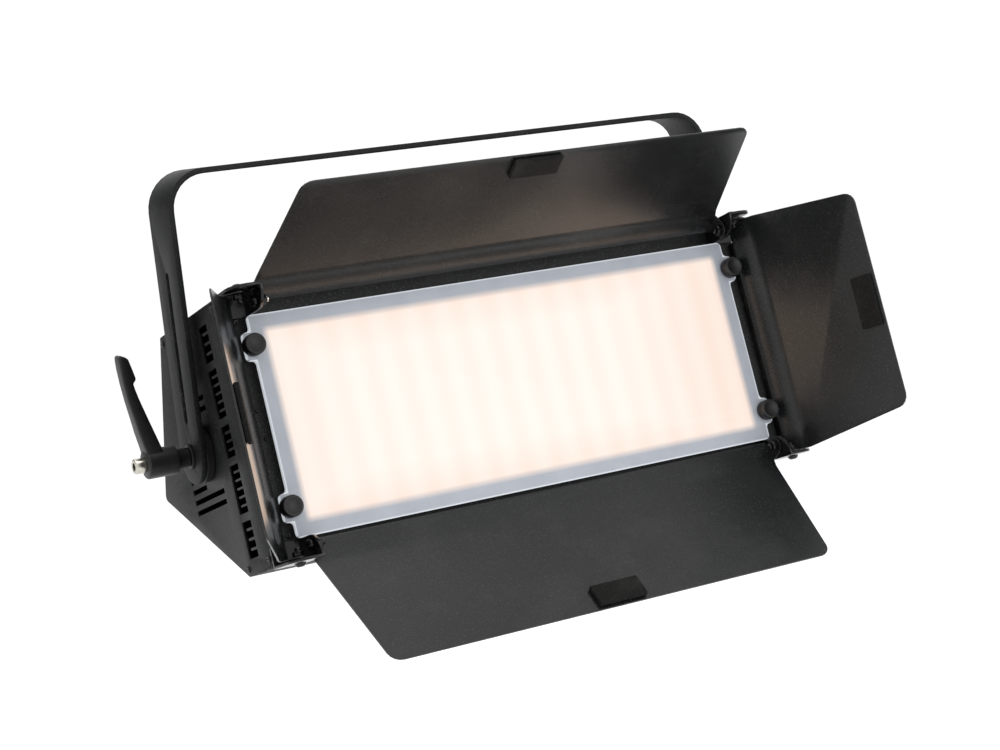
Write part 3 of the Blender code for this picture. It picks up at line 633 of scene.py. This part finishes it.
# %% Levers, screws, discs and washers
LEVER_OUTLINE = [
    # (height above the pivot, distance out from the hub's foot, half width), in millimetres
    (6, 30.8, 6.8), (12, 32.0, 6.6), (22, 34.3, 6.1), (33, 36.3, 5.6), (46, 38.8, 5.0),
    (58, 40.4, 5.1), (68, 41.3, 5.5), (74.5, 41.5, 5.5), (76.8, 41.2, 5.5), (77.6, 39.9, 5.5),
    (76.2, 37.0, 5.5), (74.5, 35.0, 5.5), (68, 33.1, 5.3), (61, 31.3, 5.1), (59.4, 31.5, 5.1),
    (58.2, 32.7, 5.1), (57.0, 33.4, 5.1), (53, 32.6, 5.0), (45.5, 30.6, 5.0), (31, 26.2, 5.6),
    (22, 23.4, 6.1), (14.5, 21.1, 6.6), (6, 18.4, 6.8),
]
FOOT = 0.2257  # from the centre plane to the hub's foot
for side in SIDES:
    place = lever_place(side)
    end = FOOT + 0.0316
    lever = lathe(
        [(0, end), (0.0088, end), (0.0097, end - 0.0004), (0.0103, end - 0.0013)]
        + [(0.0103, FOOT + 0.0101), (0.0099, FOOT + 0.0096), (0.0070, FOOT + 0.0092)]
        + [(0.0068, FOOT + 0.0087), (0.0068, FOOT + 0.0004), (0.0064, FOOT), (0.0043, FOOT)]
        + [(0.0043, FOOT + 0.025), (0, FOOT + 0.025)],
        72,
    )
    arm = bmesh.new()
    rim = [
        arm.verts.new((x / 1000, -half / 1000, FOOT + z / 1000)) for x, z, half in LEVER_OUTLINE
    ]
    made = bmesh.ops.extrude_face_region(arm, geom=[arm.faces.new(rim)])["geom"]
    other_rim = [v for v in made if isinstance(v, bmesh.types.BMVert)]
    bmesh.ops.scale(arm, vec=(1, -1, 1), verts=other_rim)
    bmesh.ops.recalc_face_normals(arm, faces=arm.faces)
    long_edges = [e for e in arm.edges if e.verts[0].co.y * e.verts[1].co.y > 0]
    bmesh.ops.bevel(
        arm, geom=long_edges, affect="EDGES", offset=0.0011, segments=3, profile=0.5, material=-1,
        clamp_overlap=True,
    )
    bmesh.ops.triangulate(arm, faces=[f for f in arm.faces if len(f.verts) > 4])
    settled(arm, lever, UPRIGHT)
    place_piece(
        lever, f"clamp_lever_{side}", f"lever_{side}", PLASTIC, place,
        (f"tilt_lever_{side}",),
    )
    screw = lathe(
        [(0, end + 0.004), (0.0030, end + 0.004, "hex"), (0.0030, end + 0.0079, "hex")]
        + [(0.0034, end + 0.0081), (0.0046, end + 0.0081), (0.0052, end + 0.0077)]
        + [(0.0055, end + 0.0070), (0.0055, end + 0.0010), (0.0053, end + 0.0003), (0, end + 0.0003)],
    )
    place_piece(
        screw, f"clamp_screw_{side}", f"lever_{side}", NICKEL, place,
        (f"lever_screw_{side}",),
    )
    disc = [(0.0043, 0.2133), (0.0194, 0.2133), (0.0200, 0.2138), (0.0200, 0.2186)]
    disc += [(0.0194, 0.2191), (0.0150, 0.2191), (0.0147, 0.2188), (0.0120, 0.2188)]
    disc += [(0.0117, 0.2191), (0.0043, 0.2191)]
    place_piece(
        lathe(disc, 72), f"friction_disc_{side}", "housing", PLASTIC, place,
        (f"tilt_disc_{side}",),
    )
    washer = [(0.0043, 0.2237), (0.0082, 0.2237), (0.0085, 0.2240), (0.0085, 0.2251)]
    washer += [(0.0082, 0.2254), (0.0043, 0.2254)]
    place_piece(
        lathe(washer, 48), f"clamp_washer_{side}", "yoke", PLASTIC, place,
        (f"lever_washer_{side}",),
    )

# %% [markdown]
# ## Diffuser knobs and spacers
#
# The sheet stands on four spacers and is held by low knobs. Their rims are finely knurled, and
# each face has a shallow dish that catches a ring of light.

# %% Knobs and spacers
for end, up in ENDS.items():
    for side, across in SIDES.items():
        x, z = across * 0.1967, up * 0.0556
        knob = lathe(
            [(0, 0.0087), (0.0052, 0.0087), (0.0057, 0.0090), (0.0066, 0.0090), (0.0072, 0.0087)]
            + [(0.0075, 0.0081, "knurl"), (0.0075, 0.0012, "knurl"), (0.0071, 0.0004)]
            + [(0.0066, 0), (0.002, 0), (0.002, -0.0075), (0, -0.0075)],
            144,
        )
        place_piece(
            knob, f"thumb_knob_{end}_{side}", f"knob_{end}_{side}", PLASTIC,
            facing_front(x, -0.0095, z), (f"knob_{end}_{side}",),
        )
        spacer = lathe(
            [(0.0023, 0), (0.0043, 0), (0.0045, 0.0003), (0.0045, 0.0053), (0.0043, 0.0056)]
            + [(0.0023, 0.0056)],
        )
        place_piece(
            spacer, f"sheet_spacer_{end}_{side}", "housing", NICKEL,
            facing_front(x, -0.0003, z), (f"spacer_{end}_{side}",),
        )

# %% [markdown]
# ## Painted shade in the side gaps
#
# A narrow black strip runs along each side of the front plate, behind the hinge strip of the side
# door. It is painted shade: a dark piece that fills the gap between them and blocks light passing
# through it. Each one is an outline raised by a few millimetres, and it stops short of the corner
# brackets.

# %% Painted shade in the side gaps
SHADE_STRIP_INNER, SHADE_STRIP_OUTER, SHADE_STRIP_HALF, SHADE_STRIP_THICK = 0.2105, 0.2125, 0.0762, 0.0036
# Each strip is painted shade: a black piece that fills the gap behind the side door's hinge strip.
for side, across in SIDES.items():
    corners = ((SHADE_STRIP_INNER, -1), (SHADE_STRIP_OUTER, -1), (SHADE_STRIP_OUTER, 1), (SHADE_STRIP_INNER, 1))
    outline = [(across * x, up * SHADE_STRIP_HALF) for x, up in corners]
    place_piece(
        slab(outline, 0, SHADE_STRIP_THICK, edge=0.0004), f"gap_shade_strip_{side}", "housing", FOAM,
        facing_front(0, 0, 0),
    )

# %% [markdown]
# ## Hinge bolts
#
# At each end of a hinge line a domed bolt passes through the bracket and the door's ear, and a
# nut locks it. The bolt's cut end shows past the nut. It is black, except at the top door's left
# end, where bright nickel is a painted highlight.

# %% Bolts, nuts and bolt ends
DOORS = {"top": ("wide", 0), "bottom": ("wide", pi), "right": ("side", pi / 2), "left": ("side", -pi / 2)}
AXIS_OUT = {"wide": 0.0226, "side": 0.0215}
AXIS_UP = {"wide": 0.0835, "side": 0.2027}
BOLT_HEAD = {"wide": 0.1929, "side": 0.0938}
BOLT_NUT = {"wide": 0.1885, "side": 0.0894}
for door, (kind, turn) in DOORS.items():
    hinge = HOUSING @ at(sin(turn) * AXIS_UP[kind], -AXIS_OUT[kind], cos(turn) * AXIS_UP[kind])
    hinge = hinge @ Matrix.Rotation(turn, 4, "Y")
    head, nut = BOLT_HEAD[kind], BOLT_NUT[kind]
    for k, sign in enumerate((1, -1), 1):
        place = hinge @ Matrix.Rotation(sign * pi / 2, 4, "Y")
        bolt = lathe(
            [(0, head + 0.0012), (0.0013, head + 0.0012, "hex"), (0.0013, head + 0.0025, "hex")]
            + [(0.0020, head + 0.0026), (0.0030, head + 0.0021), (0.0037, head + 0.0012)]
            + [(0.0040, head + 0.0003), (0.0040, head), (0.0020, head), (0.0020, nut)]
            + [(0.0033, nut), (0.0040, nut - 0.0004, "hex"), (0.0040, nut - 0.0030, "hex")]
            + [(0.0033, nut - 0.0034), (0.0021, nut - 0.0034), (0.0021, nut - 0.0040), (0, nut - 0.0040)],
            36,
        )
        place_piece(
            bolt, f"door_bolt_{door}_{k}", "housing", GLOSS_BLACK, place,
            (f"hinge_bolt_{door}_{k}",),
        )
        tip = lathe(
            [(0, nut - 0.0041), (0.0018, nut - 0.0041), (0.0020, nut - 0.0044)]
            + [(0.0020, nut - 0.0052), (0.0016, nut - 0.0057), (0.0008, nut - 0.0060), (0, nut - 0.0061)],
            24,
        )
        # Painted highlight: only this one bolt end is bright nickel, and the others stay black.
        painted_glint_end = door == "top" and k == 2
        place_piece(
            tip, f"bolt_end_{door}_{k}", "housing", NICKEL if painted_glint_end else GLOSS_BLACK,
            place,
        )

# %% [markdown]
# ## Sheet-metal screws
#
# Small cross-recessed screws close the housing: four on each side plate, four at the corners of
# the front plate, and two that hold the light box behind its left margin.


# %% Screws
def cross_screw(radius):
    return lathe(
        [(0, 0.0004), (0.30 * radius, 0.0004, "cross"), (0.58 * radius, 0.0012, "cross")]
        + [(0.66 * radius, 0.0013), (0.85 * radius, 0.0010), (radius, 0.0004), (radius, 0.0001)]
        + [(0.55 * radius, 0.0001), (0.55 * radius, -0.002), (0, -0.002)],
        40,
    )


for side in SIDES:
    for k, (y, z) in enumerate(((4, 87), (111, 87), (44.5, -87.5), (4.5, -85.5)), 1):
        place_piece(
            cross_screw(0.0024), f"side_screw_{side}_{k}", "housing", GLOSS_BLACK,
            facing_side(side, y / 1000, z / 1000),
        )
FRONT_SCREWS = (
    # across, up and head radius, in millimetres
    (-200, 75, 2.2), (200, 75, 2.2), (-198, -73, 2.2), (198, -73, 2.2), (-199.5, 13, 1.5),
    (-197.8, -6.6, 1.5),
)
for k, (x, z, radius) in enumerate(FRONT_SCREWS, 1):
    place_piece(
        cross_screw(radius / 1000), f"front_screw_{k}", "housing", GLOSS_BLACK,
        facing_front(x / 1000, 0, z / 1000),
    )

# %% [markdown]
# ## Rear panel
#
# The back carries a power inlet, two data sockets, a fuse, a small display and four buttons.
# Positions are along the panel, and +Z points out of it.

# %% Sockets
for name, x, pins in (("power_inlet", -0.165, 3), ("data_inlet", 0.120, 3), ("data_outlet", 0.158, 5)):
    socket = lathe(
        [(0.0088, -0.0100), (0.0092, -0.0100), (0.0092, 0.0029), (0.0110, 0.0029), (0.0110, 0.0034)]
        + [(0.0106, 0.0038), (0.0092, 0.0038), (0.0088, 0.0034)],
        60,
    )
    lathe([(0, -0.0108), (0.0090, -0.0108), (0.0090, -0.0100), (0, -0.0100)], 60, socket)
    for sign in (-1, 1):
        lathe(
            [(0, 0.0030), (0.0009, 0.0030, "cross"), (0.0014, 0.0036, "cross"), (0.0019, 0.0034)]
            + [(0.0022, 0.0028), (0.0022, 0.0024), (0, 0.0024)],
            32, socket, at(sign * 0.0100, sign * 0.0125, 0),
        )
    place_piece(socket, f"{name}_shell", "housing", PLASTIC, REAR @ at(x, 0, 0))
    contacts = bmesh.new()
    for k in range(pins):
        angle = 2 * pi * k / pins + pi / 2
        spot = at(0.0046 * cos(angle), 0.0046 * sin(angle), 0)
        pin = [(0, -0.012), (0.0011, -0.012), (0.0011, -0.0040), (0.0006, -0.0034), (0, -0.0032)]
        lathe(pin, 16, contacts, spot)
    place_piece(contacts, f"{name}_pins", "housing", NICKEL, REAR @ at(x, 0, 0))

# %% [markdown]
# The fuse has a knurled cap with a slot. The display is a dark window in a raised frame, made
# from a plate and four bars, and beside it are four low buttons on collars.

# %% Fuse, display and buttons
fuse = lathe(
    [(0, 0.0078), (0.0034, 0.0078, "cross"), (0.0040, 0.0090, "cross"), (0.0058, 0.0090)]
    + [(0.0066, 0.0084, "knurl"), (0.0070, 0.0020, "knurl"), (0.0070, 0.0003), (0.0055, 0.0003)]
    + [(0.0055, -0.022), (0, -0.022)],
    144,
)
place_piece(
    fuse, "fuse_cap", "housing", PLASTIC, REAR @ at(-0.128, 0, 0), ("fuse_holder",)
)
bezel = slab(oblong(0.030, 0.013), 0.0003, 0.0015, edge=0.0004)
BEZEL_BARS = (
    # half width, half height, and the middle
    (0.030, 0.0022, 0, 0.0108), (0.030, 0.0022, 0, -0.0108),
    (0.0030, 0.0090, 0.027, 0), (0.0030, 0.0090, -0.027, 0),
)
for half_x, half_y, x, y in BEZEL_BARS:
    slab(oblong(half_x, half_y, x, y), 0.0012, 0.0024, bezel, edge=0.0005)
slab(oblong(0.024, 0.008), -0.008, 0.001, bezel)
place_piece(
    bezel, "display_frame", "housing", PLASTIC, REAR @ at(-0.030, 0, 0), ("display",)
)
place_piece(
    slab(oblong(0.0238, 0.0084), 0.0013, 0.0019, edge=0.0002), "display_window", "housing", GLASS,
    REAR @ at(-0.030, 0, 0),
)
for k in range(4):
    cap = lathe(
        [(0, 0.0020), (0.0022, 0.0021), (0.0030, 0.0022), (0.0034, 0.0020), (0.0035, 0.0016)]
        + [(0.0035, -0.0019), (0.0048, -0.0019), (0.0048, -0.0029), (0, -0.0029)]
    )
    place_piece(
        cap, f"button_cap_{k + 1}", f"menu_button_{k + 1}", PLASTIC,
        REAR @ at(0.022 + 0.014 * k, 0, 0), (f"menu_button_{k + 1}",),
    )

# %% [markdown]
# A bent rod stands on top for a safety cable. It starts as a disc, which is extruded a short way
# at a time, and each new end is turned so that it stays square to the bend.

# %% Safety eye
ROD_RADIUS, BEND_RADIUS, LEG = 0.0025, 0.013, 0.009
bend = [(-BEND_RADIUS, 0.0003)]
bend += [
    (-BEND_RADIUS * cos(pi * k / 24), LEG + BEND_RADIUS * sin(pi * k / 24)) for k in range(25)
]
bend += [(BEND_RADIUS, 0.0003)]


def square_to_bend(k):
    """A place on the rod's middle line, with +Z along the rod."""
    ahead = Vector(bend[min(k + 1, len(bend) - 1)]) - Vector(bend[max(k - 1, 0)])
    out = Vector((ahead.y, 0, -ahead.x)).normalized()
    turn = Matrix((out, (0, 1, 0), out.cross((0, 1, 0)))).transposed().to_4x4()
    return at(bend[k][0], 0, bend[k][1]) @ turn


eye = bmesh.new()
bmesh.ops.create_circle(
    eye, cap_ends=True, segments=16, radius=ROD_RADIUS, matrix=square_to_bend(0)
)
tip = list(eye.faces)
for k in range(1, len(bend)):
    made = bmesh.ops.extrude_face_region(eye, geom=tip)["geom"]
    if k > 1:  # the face that was extruded is now inside the rod, except the first one
        bmesh.ops.delete(eye, geom=tip, context="FACES_ONLY")
    tip = [f for f in made if isinstance(f, bmesh.types.BMFace)]
    moved = [v for v in made if isinstance(v, bmesh.types.BMVert)]
    step = square_to_bend(k) @ square_to_bend(k - 1).inverted()
    bmesh.ops.transform(eye, matrix=step, verts=moved)
place_piece(
    eye, "cable_eye", "housing", GLOSS_BLACK,
    HOUSING @ at(0, 0.095, HALF_HEIGHT), ("safety_eye",),
)

# %% [markdown]
# ## Inside the light
#
# The vents let a little of the inside show. Rows of square emitters sit on the board, and behind
# the heat plate the driver board carries three capacitors. Each emitter is repeated about two
# hundred times, so it has few faces.

# %% Emitters and board parts
ROWS, COLUMNS = 8, 26
emitters = bmesh.new()
board_face = HOUSING @ at(0, 0.0318, 0)
towards_front = Matrix.Rotation(pi / 2, 4, "X")
for row in range(ROWS):
    for column in range(COLUMNS):
        spot = at((column - 12.5) * 0.0138, 0, (row - 3.5) * 0.0155)
        slab(
            oblong(0.0016, 0.0016), 0.0001, 0.0010, emitters, board_face @ spot @ towards_front
        )
place_piece(emitters, "emitters", "housing", EMITTER_BOARD)
CAPACITORS = (
    # across, up, radius and height
    (0.074, 0.066, 0.004, 0.012), (0.110, 0.068, 0.005, 0.014), (0.122, 0.045, 0.004, 0.010),
)
for k, (x, z, radius, tall) in enumerate(CAPACITORS, 1):
    can = lathe(
        [(0, 0), (radius, 0), (radius, 0.0012), (0.93 * radius, 0.0018), (radius, 0.0024)]
        + [(radius, tall - 0.0006), (radius - 0.0006, tall), (0.6 * radius, tall)]
        + [(0.55 * radius, tall - 0.0003), (0, tall - 0.0003)],
        32,
    )
    place_piece(
        can, f"capacitor_{k}", "housing", ALUMINIUM,
        HOUSING @ at(x, 0.0577, z) @ Matrix.Rotation(-pi / 2, 4, "X"),
    )
